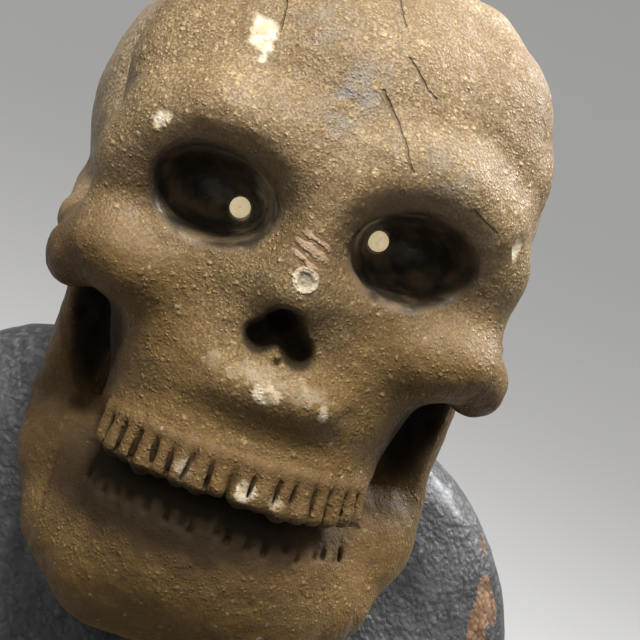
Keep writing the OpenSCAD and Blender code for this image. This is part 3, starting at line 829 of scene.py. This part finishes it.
class Look:
    """A material made of nodes, on Object coordinates in metres."""

    def __init__(self, name):
        self.material = bpy.data.materials.new(name)
        self.material.use_nodes = True
        self.tree = self.material.node_tree
        self.tree.nodes.clear()
        out = self.node("ShaderNodeOutputMaterial")
        self.shader = self.node("ShaderNodeBsdfPrincipled")
        self.put(out.inputs["Surface"], self.shader.outputs["BSDF"])
        self.place = self.node("ShaderNodeTexCoord").outputs["Object"]

    def node(self, kind, **settings):
        node = self.tree.nodes.new(kind)
        for key, value in settings.items():
            setattr(node, key, value)
        return node

    def put(self, socket, value):
        """Links an output to a socket, or sets the socket to a constant."""
        if isinstance(value, bpy.types.NodeSocket):
            self.tree.links.new(value, socket)
        else:
            socket.default_value = value

    def set(self, **values):
        """Sets or links the shader's sockets, with _ for the spaces in their names."""
        for key, value in values.items():
            self.put(self.shader.inputs[key.replace("_", " ")], value)

    def math(self, operation, a, b=0.0, clamp=False):
        node = self.node("ShaderNodeMath", operation=operation, use_clamp=clamp)
        self.put(node.inputs[0], a)
        self.put(node.inputs[1], b)
        return node.outputs[0]

    def less(self, a, b, clamp=False):
        return self.math("SUBTRACT", a, b, clamp)

    def add(self, *terms):
        total = terms[0]
        for term in terms[1:]:
            total = self.math("ADD", total, term)
        return total

    def times(self, *factors):
        product = factors[0]
        for factor in factors[1:]:
            product = self.math("MULTIPLY", product, factor)
        return product

    def top(self, a, b):
        return self.math("MAXIMUM", a, b)

    def ramp(self, value, low, high, start=0.0, end=1.0):
        node = self.node("ShaderNodeMapRange", interpolation_type="SMOOTHSTEP")
        for socket, number in zip(node.inputs, (value, low, high, start, end)):
            self.put(socket, number)
        return node.outputs["Result"]

    def mix(self, share, a, b):
        node = self.node("ShaderNodeMix", data_type="RGBA")
        sockets = [s for s in node.inputs if s.type == "RGBA"]
        self.put(node.inputs["Factor"], share)
        for socket, colour in zip(sockets, (a, b)):
            self.put(socket, colour if isinstance(colour, bpy.types.NodeSocket) else (*colour, 1.0))
        return next(s for s in node.outputs if s.type == "RGBA")

    def texture(self, kind, pitch, place=None, **settings):
        """A texture node whose blobs or cells are that pitch apart, mm."""
        node = self.node(kind, **settings)
        self.put(node.inputs["Vector"], place or self.place)
        self.put(node.inputs["Scale"], 1 / (pitch * MM))
        return node

    def noise(self, pitch, detail=2.0, place=None, rough=0.5):
        """Fractal noise about 0.5. pitch is the size of its largest blobs."""
        node = self.texture("ShaderNodeTexNoise", pitch, place)
        self.put(node.inputs["Detail"], detail)
        self.put(node.inputs["Roughness"], rough)
        return node.outputs["Fac"]

    def cells(self, pitch, feature="F1", place=None):
        """Distance to the nearest of scattered points, in cell widths."""
        return self.texture("ShaderNodeTexVoronoi", pitch, place, feature=feature).outputs["Distance"]

    def grains(self, pitch, share, place):
        """Scattered domes of mixed sizes, from 0 to 1. share is the part of the cells that hold one."""
        node = self.texture("ShaderNodeTexVoronoi", pitch, place)
        split = self.node("ShaderNodeSeparateColor")
        self.put(split.inputs[0], node.outputs["Color"])
        size = self.times(self.less(split.outputs[0], 1 - share), 0.62 / share)
        return self.ramp(node.outputs["Distance"], self.top(size, 0.001), 0.0)

    def shift(self, pitch, amount):
        """The coordinates pushed about by noise, by up to about that amount in mm."""
        wander = self.texture("ShaderNodeTexNoise", pitch)
        push = self.node("ShaderNodeVectorMath", operation="SCALE")
        self.put(push.inputs[0], wander.outputs["Color"])
        self.put(push.inputs["Scale"], amount * MM)
        moved = self.node("ShaderNodeVectorMath", operation="ADD")
        self.put(moved.inputs[0], self.place)
        self.put(moved.inputs[1], push.outputs["Vector"])
        return moved.outputs["Vector"]

    def stretched(self, x, y, z):
        """The coordinates scaled, which draws a pattern out along an axis with a small factor."""
        node = self.node("ShaderNodeMapping")
        self.put(node.inputs["Vector"], self.place)
        node.inputs["Scale"].default_value = (x, y, z)
        return node.outputs["Vector"]

    def bump(self, height, depth):
        """Relief from a height between 0 and 1. depth is what 1 stands for, in mm. Later calls lie on top."""
        node = self.node("ShaderNodeBump")
        self.put(node.inputs["Height"], height)
        node.inputs["Distance"].default_value = depth * MM
        if self.shader.inputs["Normal"].links:
            self.put(node.inputs["Normal"], self.shader.inputs["Normal"].links[0].from_socket)
        self.set(Normal=node.outputs["Normal"])

    def paint(self):
        """The three masks that each sculpted piece carries on its points."""
        source = self.node("ShaderNodeAttribute", attribute_name="paint")
        split = self.node("ShaderNodeSeparateColor")
        self.put(split.inputs[0], source.outputs["Color"])
        return split.outputs[0], split.outputs[1], split.outputs[2]


# from x, z to x, z on the face, with half the width, mm
SCRATCHES = ((3.4, 39.1, 7.6, 33.6, 0.28), (7.6, 33.6, 10.6, 29.4, 0.22), (5.6, 44.9, 10.8, 40.5, 0.2),
             (1.6, 52.9, 3.4, 49.4, 0.2), (21.3, 26.9, 25.5, 24.6, 0.22), (-14.5, 47.3, -13.7, 42.9, 0.16))
# x, z, reach and strength of the grey-blue smudges on the forehead, mm
SMUDGES = ((0, 39, 6, 0.5), (-2, 34.5, 5, 0.45), (16, 31, 7, 0.25), (-8, 46, 6, 0.25))


def face_place(look):
    """Object coordinates turned into the skull's own, mm, and flattened onto the plane of the face."""
    node = look.node("ShaderNodeMapping")
    look.put(node.inputs["Vector"], look.place)
    node.inputs["Location"].default_value = to_skull((0, 0, 0))
    node.inputs["Rotation"].default_value = (HEAD_TILT, 0, 0)
    node.inputs["Scale"].default_value = (1 / MM, 1 / MM, 1 / MM)
    split = look.node("ShaderNodeSeparateXYZ")
    look.put(split.inputs[0], node.outputs["Vector"])
    return split.outputs


def hypotenuse(look, a, b):
    return look.math("SQRT", look.add(look.times(a, a), look.times(b, b)))


def from_spot(look, x, z, place):
    """Distance on the face from a place, mm."""
    return hypotenuse(look, look.less(x, place[0]), look.less(z, place[1]))


def scratches(look, x, z):
    """1 along the scratches of the face."""
    total = None
    for xa, za, xb, zb, wide in SCRATCHES:
        length = math.hypot(xb - xa, zb - za)
        ux, uz = (xb - xa) / length, (zb - za) / length
        px, pz = look.less(x, xa), look.less(z, za)
        along = look.add(look.times(px, ux), look.times(pz, uz))
        inside = look.math("MULTIPLY", along, 1 / length, clamp=True)
        off_x = look.less(px, look.times(inside, xb - xa))
        off_z = look.less(pz, look.times(inside, zb - za))
        gap = hypotenuse(look, off_x, off_z)
        line = look.ramp(gap, 0.4 * wide, 1.6 * wide, 1.0, 0.0)
        total = line if total is None else look.top(total, line)
    return total


def smudges(look, x, z):
    """The smudges' strengths, added up."""
    return look.add(*[look.ramp(from_spot(look, x, z, place), 0.2 * reach, reach, strength, 0.0)
                      for *place, reach, strength in SMUDGES])


def nose_bridge(look, x, z, front, base):
    """Pinkish wrinkles on the bridge, and below them a dent whose rim is chipped to the gesso."""
    uneven = look.less(look.noise(2.4, 3), 0.5)
    across = look.add(z, look.times(x, 0.3), look.times(uneven, 2.2))
    folds = look.ramp(look.math("SINE", look.times(across, 2 * math.pi / WRINKLE_PITCH)), -0.8, 0.9)
    inside = look.times(look.ramp(look.add(from_spot(look, x, z, WRINKLES), uneven), 3.5, 2.2), front)
    far = look.add(from_spot(look, x, z, RING_DENT), look.times(uneven, 1.2))
    rim = look.times(look.ramp(far, RING_DENT[2] - 0.9, RING_DENT[2] - 0.3),
                     look.ramp(far, RING_DENT[2] + 0.5, RING_DENT[2] + 0.1), front)
    middle = look.times(look.ramp(far, RING_DENT[2] - 0.3, RING_DENT[2] - 0.9), front)
    skin = look.mix(folds, (0.20, 0.11, 0.055), (0.50, 0.355, 0.24))
    base = look.mix(look.times(inside, 0.6), base, skin)
    base = look.mix(look.times(middle, 0.7), base, (0.33, 0.29, 0.21))
    chipped = look.times(rim, look.ramp(look.noise(0.9, 2), 0.35, 0.6, 0.3, 0.8))
    base = look.mix(chipped, base, (0.66, 0.57, 0.41))
    return look.add(look.times(folds, inside), look.times(rim, 0.8)), base


def bone_paint():
    """Ochre paint full of sand over gesso, black in the hollows, glossy where it is black. Part of the black
    is painted shadow, and painted shade darkens the lower face.
    """
    look = Look("bone_paint")
    black, pale, brown = look.paint()
    x, y, z = face_place(look)
    front = look.ramp(y, -24, -29)
    side = look.times(look.ramp(y, -29.5, -25.5), look.ramp(z, -8, 6, 0.25, 1.0))
    # sand: rounded grains of two sizes, fewer of them in places
    grain = look.grains(0.58, 0.75, look.shift(0.9, 0.4))
    coarse = look.grains(1.15, 0.5, look.shift(1.3, 0.7))
    grit = look.noise(0.42, 3)
    sandy = look.ramp(look.noise(13), 0.30, 0.62, 0.5, 1.0)
    smooth = look.ramp(z, -38, -46)
    sandy = look.times(sandy, look.ramp(smooth, 0, 1, 1.0, 0.5), look.ramp(black, 0.2, 0.9, 1.0, 0.35),
                       look.ramp(side, 0, 1, 1.0, 0.22))
    height = look.times(look.add(look.times(grain, 0.42), look.times(coarse, 0.62), look.times(grit, 0.5),
                                 look.times(look.noise(1.7, 3), 0.9)), sandy)
    # ochre, uneven at three scales, lighter on the grains' tops and darker between them
    broad = look.add(look.times(look.noise(19, 3), 0.6), look.times(look.noise(4.2, 3), 0.4))
    base = look.mix(look.ramp(broad, 0.36, 0.64), (0.25, 0.165, 0.078), (0.365, 0.26, 0.135))
    # paler on the sides of the head, most above the jaw: partly the paint's own smoother tone, partly a
    # painted highlight on the lit temple
    base = look.mix(look.times(side, 0.85), base, (0.44, 0.345, 0.225))
    tone = look.add(look.times(grain, 0.5), look.times(coarse, 0.5), look.times(grit, 0.6))
    # darker and browner down the face and darkest at the chin: partly the paint's browner tone, partly
    # painted shade where the lower face turns from the light above
    base = look.mix(look.ramp(z, 34, -6, 0.0, 0.9), base, (0.160, 0.096, 0.032))
    base = look.mix(look.times(smooth, 0.8), base, (0.135, 0.074, 0.018))
    # lighter round the nose, which takes back some of that painted shade
    around_nose = look.ramp(from_spot(look, x, z, (-2, 3)), 6, 17, 0.75, 0.0)
    base = look.mix(look.times(around_nose, front), base, (0.32, 0.225, 0.11))
    # the grains' tops are paler high up and darker low down, with the same painted shade
    base = look.mix(look.times(look.ramp(tone, 0.55, 0.95, 0.0, 0.7), look.ramp(sandy, 0.2, 0.7)), base,
                    look.mix(look.ramp(z, 30, -12), (0.58, 0.47, 0.29), (0.36, 0.26, 0.135)))
    base = look.mix(look.ramp(tone, 0.46, 0.2, 0.0, 0.8), base, (0.10, 0.062, 0.026))
    base = look.mix(look.times(smudges(look, x, z), front, look.ramp(look.noise(3, 3), 0.35, 0.6)), base,
                    (0.20, 0.205, 0.20))
    flecks = look.times(look.ramp(look.cells(2.9, place=look.shift(2, 1.5)), 0.14, 0.05), front)
    base = look.mix(look.times(flecks, 0.35), base, (0.56, 0.48, 0.35))
    pits = look.ramp(look.cells(3.7, place=look.shift(3, 2.0)), 0.12, 0.05)
    base = look.mix(look.times(pits, 0.6), base, (0.05, 0.032, 0.015))
    # the brown mask: stains, and painted shade under the brows, round the slot, under the teeth and on the
    # cheeks
    stain_and_shade = look.times(brown, look.ramp(look.noise(2.2, 3), 0.3, 0.6, 0.55, 0.95))
    base = look.mix(stain_and_shade, base, (0.075, 0.042, 0.018))
    wander = look.less(look.noise(3.5, 2), 0.5)
    scratch = look.times(scratches(look, look.add(x, look.times(wander, 2.2)), z), front)
    base = look.mix(look.times(scratch, 0.7), base, (0.10, 0.06, 0.028))
    folds, base = nose_bridge(look, x, z, front, base)
    gesso = look.mix(look.ramp(look.noise(1.4, 3), 0.4, 0.65), (0.60, 0.48, 0.31), (0.82, 0.74, 0.58))
    base = look.mix(pale, base, gesso)
    # dry-brushed edge: the sand's tops show through thin black
    show = look.times(look.ramp(tone, 0.7, 1.2), look.ramp(black, 0.99, 0.75))
    cover = look.less(black, look.times(show, 0.6), clamp=True)
    in_socket = look.ramp(z, 3, 9)
    # the colour of the black: black paint in the sockets, nose and tooth gaps, and painted shadow in the slot
    # and under the teeth, lighter and browner in the sockets
    black_and_shadow_tone = look.mix(look.times(look.ramp(look.noise(4.5, 3), 0.4, 0.66), in_socket),
                    look.mix(in_socket, (0.018, 0.012, 0.006), (0.036, 0.028, 0.019)), (0.15, 0.105, 0.06))
    base = look.mix(cover, base, black_and_shadow_tone)
    look.set(Base_Color=base, Specular_IOR_Level=look.ramp(z, 3, 9, 0.1, 0.28))
    rough = look.ramp(look.noise(2.5, 3), 0.3, 0.7, 0.42, 0.62)
    rough = look.add(rough, look.times(pale, 0.2))
    shine = look.ramp(look.noise(3.1, 3), 0.3, 0.7, 0.3, 0.5)
    shine = look.add(shine, look.ramp(cover, 0.97, 0.6, 0.0, 0.3))
    shine = look.top(shine, look.ramp(z, 9, 4, 0.0, 0.85))
    rough = look.add(look.times(rough, look.less(1.0, cover)), look.times(shine, cover))
    look.set(Roughness=rough)
    look.bump(look.add(height, look.times(scratch, -0.8), look.times(folds, 0.5)), 0.42)
    look.bump(look.noise(5.5, 3), 0.35)
    return look.material


def dress_lacquer():
    """Black lacquer on crumpled paper, scaly and crazed, rubbed through to brown, with pale dust."""
    look = Look("dress_lacquer")
    rub, dust, _ = look.paint()
    place = look.shift(2.6, 2.2)
    scales = look.ramp(look.cells(2.3, place=place), 0.05, 0.75)
    small = look.ramp(look.cells(1.15, place=look.shift(1.2, 0.9)), 0.05, 0.8)
    crackle = look.ramp(look.cells(3.4, "DISTANCE_TO_EDGE", place), 0.0, 0.10)
    broad = look.noise(14, 3)
    base = look.mix(look.ramp(broad, 0.3, 0.7), (0.030, 0.030, 0.032), (0.060, 0.060, 0.062))
    # paler grey on the tops of the scales, in patches
    pale_scale_tops = look.times(look.ramp(scales, 0.45, 0.1), look.ramp(look.noise(5, 3), 0.42, 0.62))
    base = look.mix(look.times(pale_scale_tops, 0.45), base, (0.15, 0.15, 0.16))
    dusty = look.times(dust, look.ramp(look.noise(1.8, 3), 0.45, 0.7), 0.5)
    base = look.mix(dusty, base, (0.21, 0.205, 0.20))
    brown = look.mix(look.ramp(look.noise(2.4, 3), 0.35, 0.65), (0.105, 0.050, 0.022), (0.24, 0.135, 0.070))
    edge = look.add(rub, look.times(look.noise(1.6, 3), 0.8))
    through = look.ramp(edge, 0.78, 1.0)
    base = look.mix(through, base, brown)
    base = look.mix(look.ramp(crackle, 1.0, 0.0, 0.0, 0.45), base, (0.010, 0.010, 0.011))
    look.set(Base_Color=base, Specular_IOR_Level=0.34)
    rough = look.add(look.ramp(look.noise(3.3, 3), 0.3, 0.7, 0.45, 0.66), look.times(through, 0.12))
    look.set(Roughness=rough)
    look.set(Coat_Weight=look.ramp(through, 0.0, 1.0, 0.17, 0.03), Coat_Roughness=0.2)
    height = look.add(look.times(scales, -0.45), look.times(small, -0.6), look.times(crackle, 0.12),
                      look.times(look.noise(0.7, 3), 0.25))
    look.bump(height, 0.22)
    look.bump(look.noise(6, 3), 0.9)
    return look.material


def cream_paper():
    """Thin cream paper: fibres and a little dirt, with a painted glow that stands in for light coming through
    it from behind.
    """
    look = Look("cream_paper")
    fibre = look.noise(0.5, 4, look.stretched(1, 1, 0.3))
    base = look.mix(look.ramp(look.noise(1.6, 3), 0.3, 0.7), (0.80, 0.63, 0.36), (0.86, 0.72, 0.47))
    base = look.mix(look.ramp(fibre, 0.55, 0.7, 0.0, 0.35), base, (0.40, 0.27, 0.13))
    look.set(Base_Color=base, Roughness=look.ramp(look.noise(1), 0.3, 0.7, 0.72, 0.92))
    # painted glow: the paper gives off light in its own colour, though it is no lamp
    look.set(Emission_Color=base, Emission_Strength=0.6)
    look.bump(fibre, 0.08)
    return look.material


def wood(name, pale, dark, gloss, along):
    """Turned or planed wood: streaks along the grain, pores and rings."""
    look = Look(name)
    squeeze = [1.0, 1.0, 1.0]
    squeeze[along] = 0.07
    streaks = look.noise(2.2, 5, look.stretched(*squeeze), 0.6)
    pores = look.ramp(look.noise(0.45, 2, look.stretched(*squeeze)), 0.60, 0.72)
    bands = look.noise(9, 2, look.stretched(*[s * 0.8 for s in squeeze]))
    figure = look.add(look.times(streaks, 0.6), look.times(bands, 0.4))
    base = look.mix(look.ramp(figure, 0.36, 0.64), dark, pale)
    base = look.mix(look.times(pores, 0.7), base, tuple(0.35 * c for c in dark))
    look.set(Base_Color=base, Roughness=look.ramp(streaks, 0.3, 0.7, gloss, gloss + 0.18))
    look.bump(look.less(streaks, pores), 0.12)
    return look.material


def felt():
    """Dark green felt: matted fuzz."""
    look = Look("felt")
    fuzz = look.noise(0.5, 4, look.shift(1.4, 1.2), 0.7)
    base = look.mix(look.ramp(fuzz, 0.35, 0.65), (0.012, 0.030, 0.018), (0.035, 0.075, 0.048))
    look.set(Base_Color=base, Roughness=look.ramp(fuzz, 0.3, 0.7, 0.85, 1.0), Sheen_Weight=0.4)
    look.bump(fuzz, 0.25)
    return look.material


def steel():
    """Drawn or turned steel: fine scratches, dulled and spotted by age."""
    look = Look("steel")
    drawn = look.noise(0.35, 3, look.stretched(1, 1, 0.08))
    spots = look.ramp(look.noise(1.8, 4), 0.58, 0.72)
    base = look.mix(look.ramp(drawn, 0.3, 0.7), (0.36, 0.36, 0.37), (0.52, 0.52, 0.53))
    base = look.mix(spots, base, (0.16, 0.085, 0.045))
    look.set(Base_Color=base, Metallic=look.ramp(spots, 0, 1, 1.0, 0.35))
    look.set(Roughness=look.ramp(drawn, 0.3, 0.7, 0.24, 0.45))
    look.bump(drawn, 0.02)
    return look.material


def leather():
    """Brown sole leather: pebbles, creases and worn edges."""
    look = Look("leather")
    pebbles = look.ramp(look.cells(0.7, "SMOOTH_F1", look.shift(0.9, 0.5)), 0.1, 0.6)
    base = look.mix(look.ramp(look.noise(3, 3), 0.35, 0.65), (0.13, 0.055, 0.022), (0.24, 0.115, 0.05))
    base = look.mix(look.times(pebbles, 0.5), base, (0.07, 0.03, 0.014))
    look.set(Base_Color=base, Roughness=look.ramp(pebbles, 0, 1, 0.45, 0.7))
    look.bump(pebbles, -0.12)
    return look.material


# which CAD nodes keep their own shape, by what they are made of
KEPT = {
    "post_wood": ("centre_post", "skirt_former", "waist_disc", "shoulder_yoke", "neck_dowel", "skull_plug",
                  "arm_bush_left", "arm_bush_right"),
    "base_wood": ("base_board",),
    "bone_paint": ("neck_column",),
    "felt": ("base_felt",),
    "leather": ("neck_washer",),
    "steel": ("base_washer", "post_screw", "skirt_hoop", "arm_axle", "axle_spacers", "axle_caps", "head_pin",
              "arm_wire_left", "arm_wire_right"),
}


def make_looks():
    """The materials, by the slot that each one fills."""
    return {
        "bone_paint": bone_paint(),
        "dress_lacquer": dress_lacquer(),
        "cream_paper": cream_paper(),
        "post_wood": wood("post_wood", (0.42, 0.26, 0.13), (0.27, 0.145, 0.065), 0.5, 2),
        "base_wood": wood("base_wood", (0.085, 0.042, 0.022), (0.035, 0.017, 0.010), 0.24, 0),
        "felt": felt(),
        "steel": steel(),
        "leather": leather(),
    }


def dress_cad():
    """Gives the CAD nodes that stay in sight their materials."""
    for slot, names in KEPT.items():
        for name in names:
            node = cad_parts[name]
            node.data.materials.clear()
            node.data.materials.append(looks[slot])


# ---------------------------------------------------------------- camera, light and stage

CAMERA_AWAY = 262.8             # from the nose, mm
CAMERA_AZ, CAMERA_EL, CAMERA_ROLL = (math.radians(a) for a in (-5.0, 11.0, 19.2))
CAMERA_SLIDE = (5.84, 3.07)     # along the picture's right and up, mm
LENS = 101.25
WORLD_GREY = (0.09, 0.09, 0.095, 1.0)
FLOOR_COLOUR = (0.66, 0.655, 0.64)
FLOOR_FLAT, FLOOR_SWEEP = 5.0, 5.5


def build_camera():
    """The photograph's own angle."""
    az, el, roll = CAMERA_AZ, CAMERA_EL, CAMERA_ROLL
    back = Vector((math.sin(az) * math.cos(el), -math.cos(az) * math.cos(el), math.sin(el)))
    level = Vector((math.cos(az), math.sin(az), 0))
    up = back.cross(level)
    right = level * math.cos(roll) + up * math.sin(roll)
    top = up * math.cos(roll) - level * math.sin(roll)
    place = Vector(NOSE) + back * CAMERA_AWAY + right * CAMERA_SLIDE[0] + top * CAMERA_SLIDE[1]
    data = bpy.data.cameras.new("camera")
    data.lens = LENS
    data.clip_start = 0.01
    camera = bpy.data.objects.new("camera", data)
    camera.matrix_world = Matrix.Translation(place * MM) @ Matrix((right, top, back)).transposed().to_4x4()
    bpy.context.scene.collection.objects.link(camera)
    bpy.context.scene.camera = camera


def light(name, place, aim, size, strength, colour):
    """A soft square lamp. strength 1 lights a white card at the aim to white."""
    data = bpy.data.lights.new(name, "AREA")
    data.size = size
    place, aim = Vector(place), Vector(aim)
    data.energy = strength * math.pi ** 2 * (place - aim).length_squared
    data.color = colour
    lamp = bpy.data.objects.new(name, data)
    lamp.location = place
    lamp.rotation_euler = (aim - place).to_track_quat("-Z", "Y").to_euler()
    lamp.visible_camera = False
    bpy.context.scene.collection.objects.link(lamp)


def build_lights():
    head = Vector(NOSE) * MM
    light("key", (-0.06, -0.62, 2.0), head, 0.45, 1.95, (1.0, 0.98, 0.94))
    light("rim", (0.85, 0.55, 1.35), head, 0.5, 1.3, (0.97, 0.985, 1.0))
    light("fill", (-1.3, -1.2, 0.8), head, 1.6, 0.05, (0.93, 0.96, 1.0))
    light("ceiling", (0, 0, 6), (0, 0, 0), 36, 6.3, (1.0, 1.0, 1.0))
    world = bpy.data.worlds.new("room")
    world.use_nodes = True
    background = world.node_tree.nodes["Background"]
    background.inputs["Color"].default_value = WORLD_GREY
    bpy.context.scene.world = world
    bpy.context.scene.view_settings.view_transform = "Standard"


def build_floor():
    """A round floor that sweeps up into a wall far from the figure, so that no horizon shows."""
    angle = np.linspace(0, 2 * math.pi, 97)[None, :-1]
    bend = np.linspace(0, math.pi / 2, 25)[:, None]
    radius = np.concatenate([[[0.05]], FLOOR_FLAT + FLOOR_SWEEP * np.sin(bend)])
    height = np.concatenate([[[0.0]], FLOOR_SWEEP * (1 - np.cos(bend))])
    points = ring_points(radius, angle, height).reshape(-1, 3)
    middle = list(range(angle.size))
    mesh = bpy.data.meshes.new("floor")
    mesh.from_pydata(points.tolist(), [], grid_quads(len(radius), angle.size)[:, ::-1].tolist() + [middle])
    look = Look("floor")
    paper = look.noise(2.5, 3)
    shade = tuple(0.94 * c for c in FLOOR_COLOUR)
    look.set(Base_Color=look.mix(look.ramp(paper, 0.3, 0.7), shade, FLOOR_COLOUR))
    look.set(Roughness=look.ramp(paper, 0.3, 0.7, 0.75, 0.9))
    mesh.materials.append(look.material)
    mesh.shade_smooth()
    floor = bpy.data.objects.new("floor", mesh)
    bpy.context.scene.collection.objects.link(floor)
    floor.visible_diffuse = False  # the light that the floor throws up would fill the sockets and the jaw


# ---------------------------------------------------------------- the figure

looks = make_looks()
dress_cad()
build_skull()
build_eye_patches()
build_cape()
build_bodice()
build_skirt()
build_flounce()
build_sash()
build_arms()
build_floor()
build_lights()
build_camera()
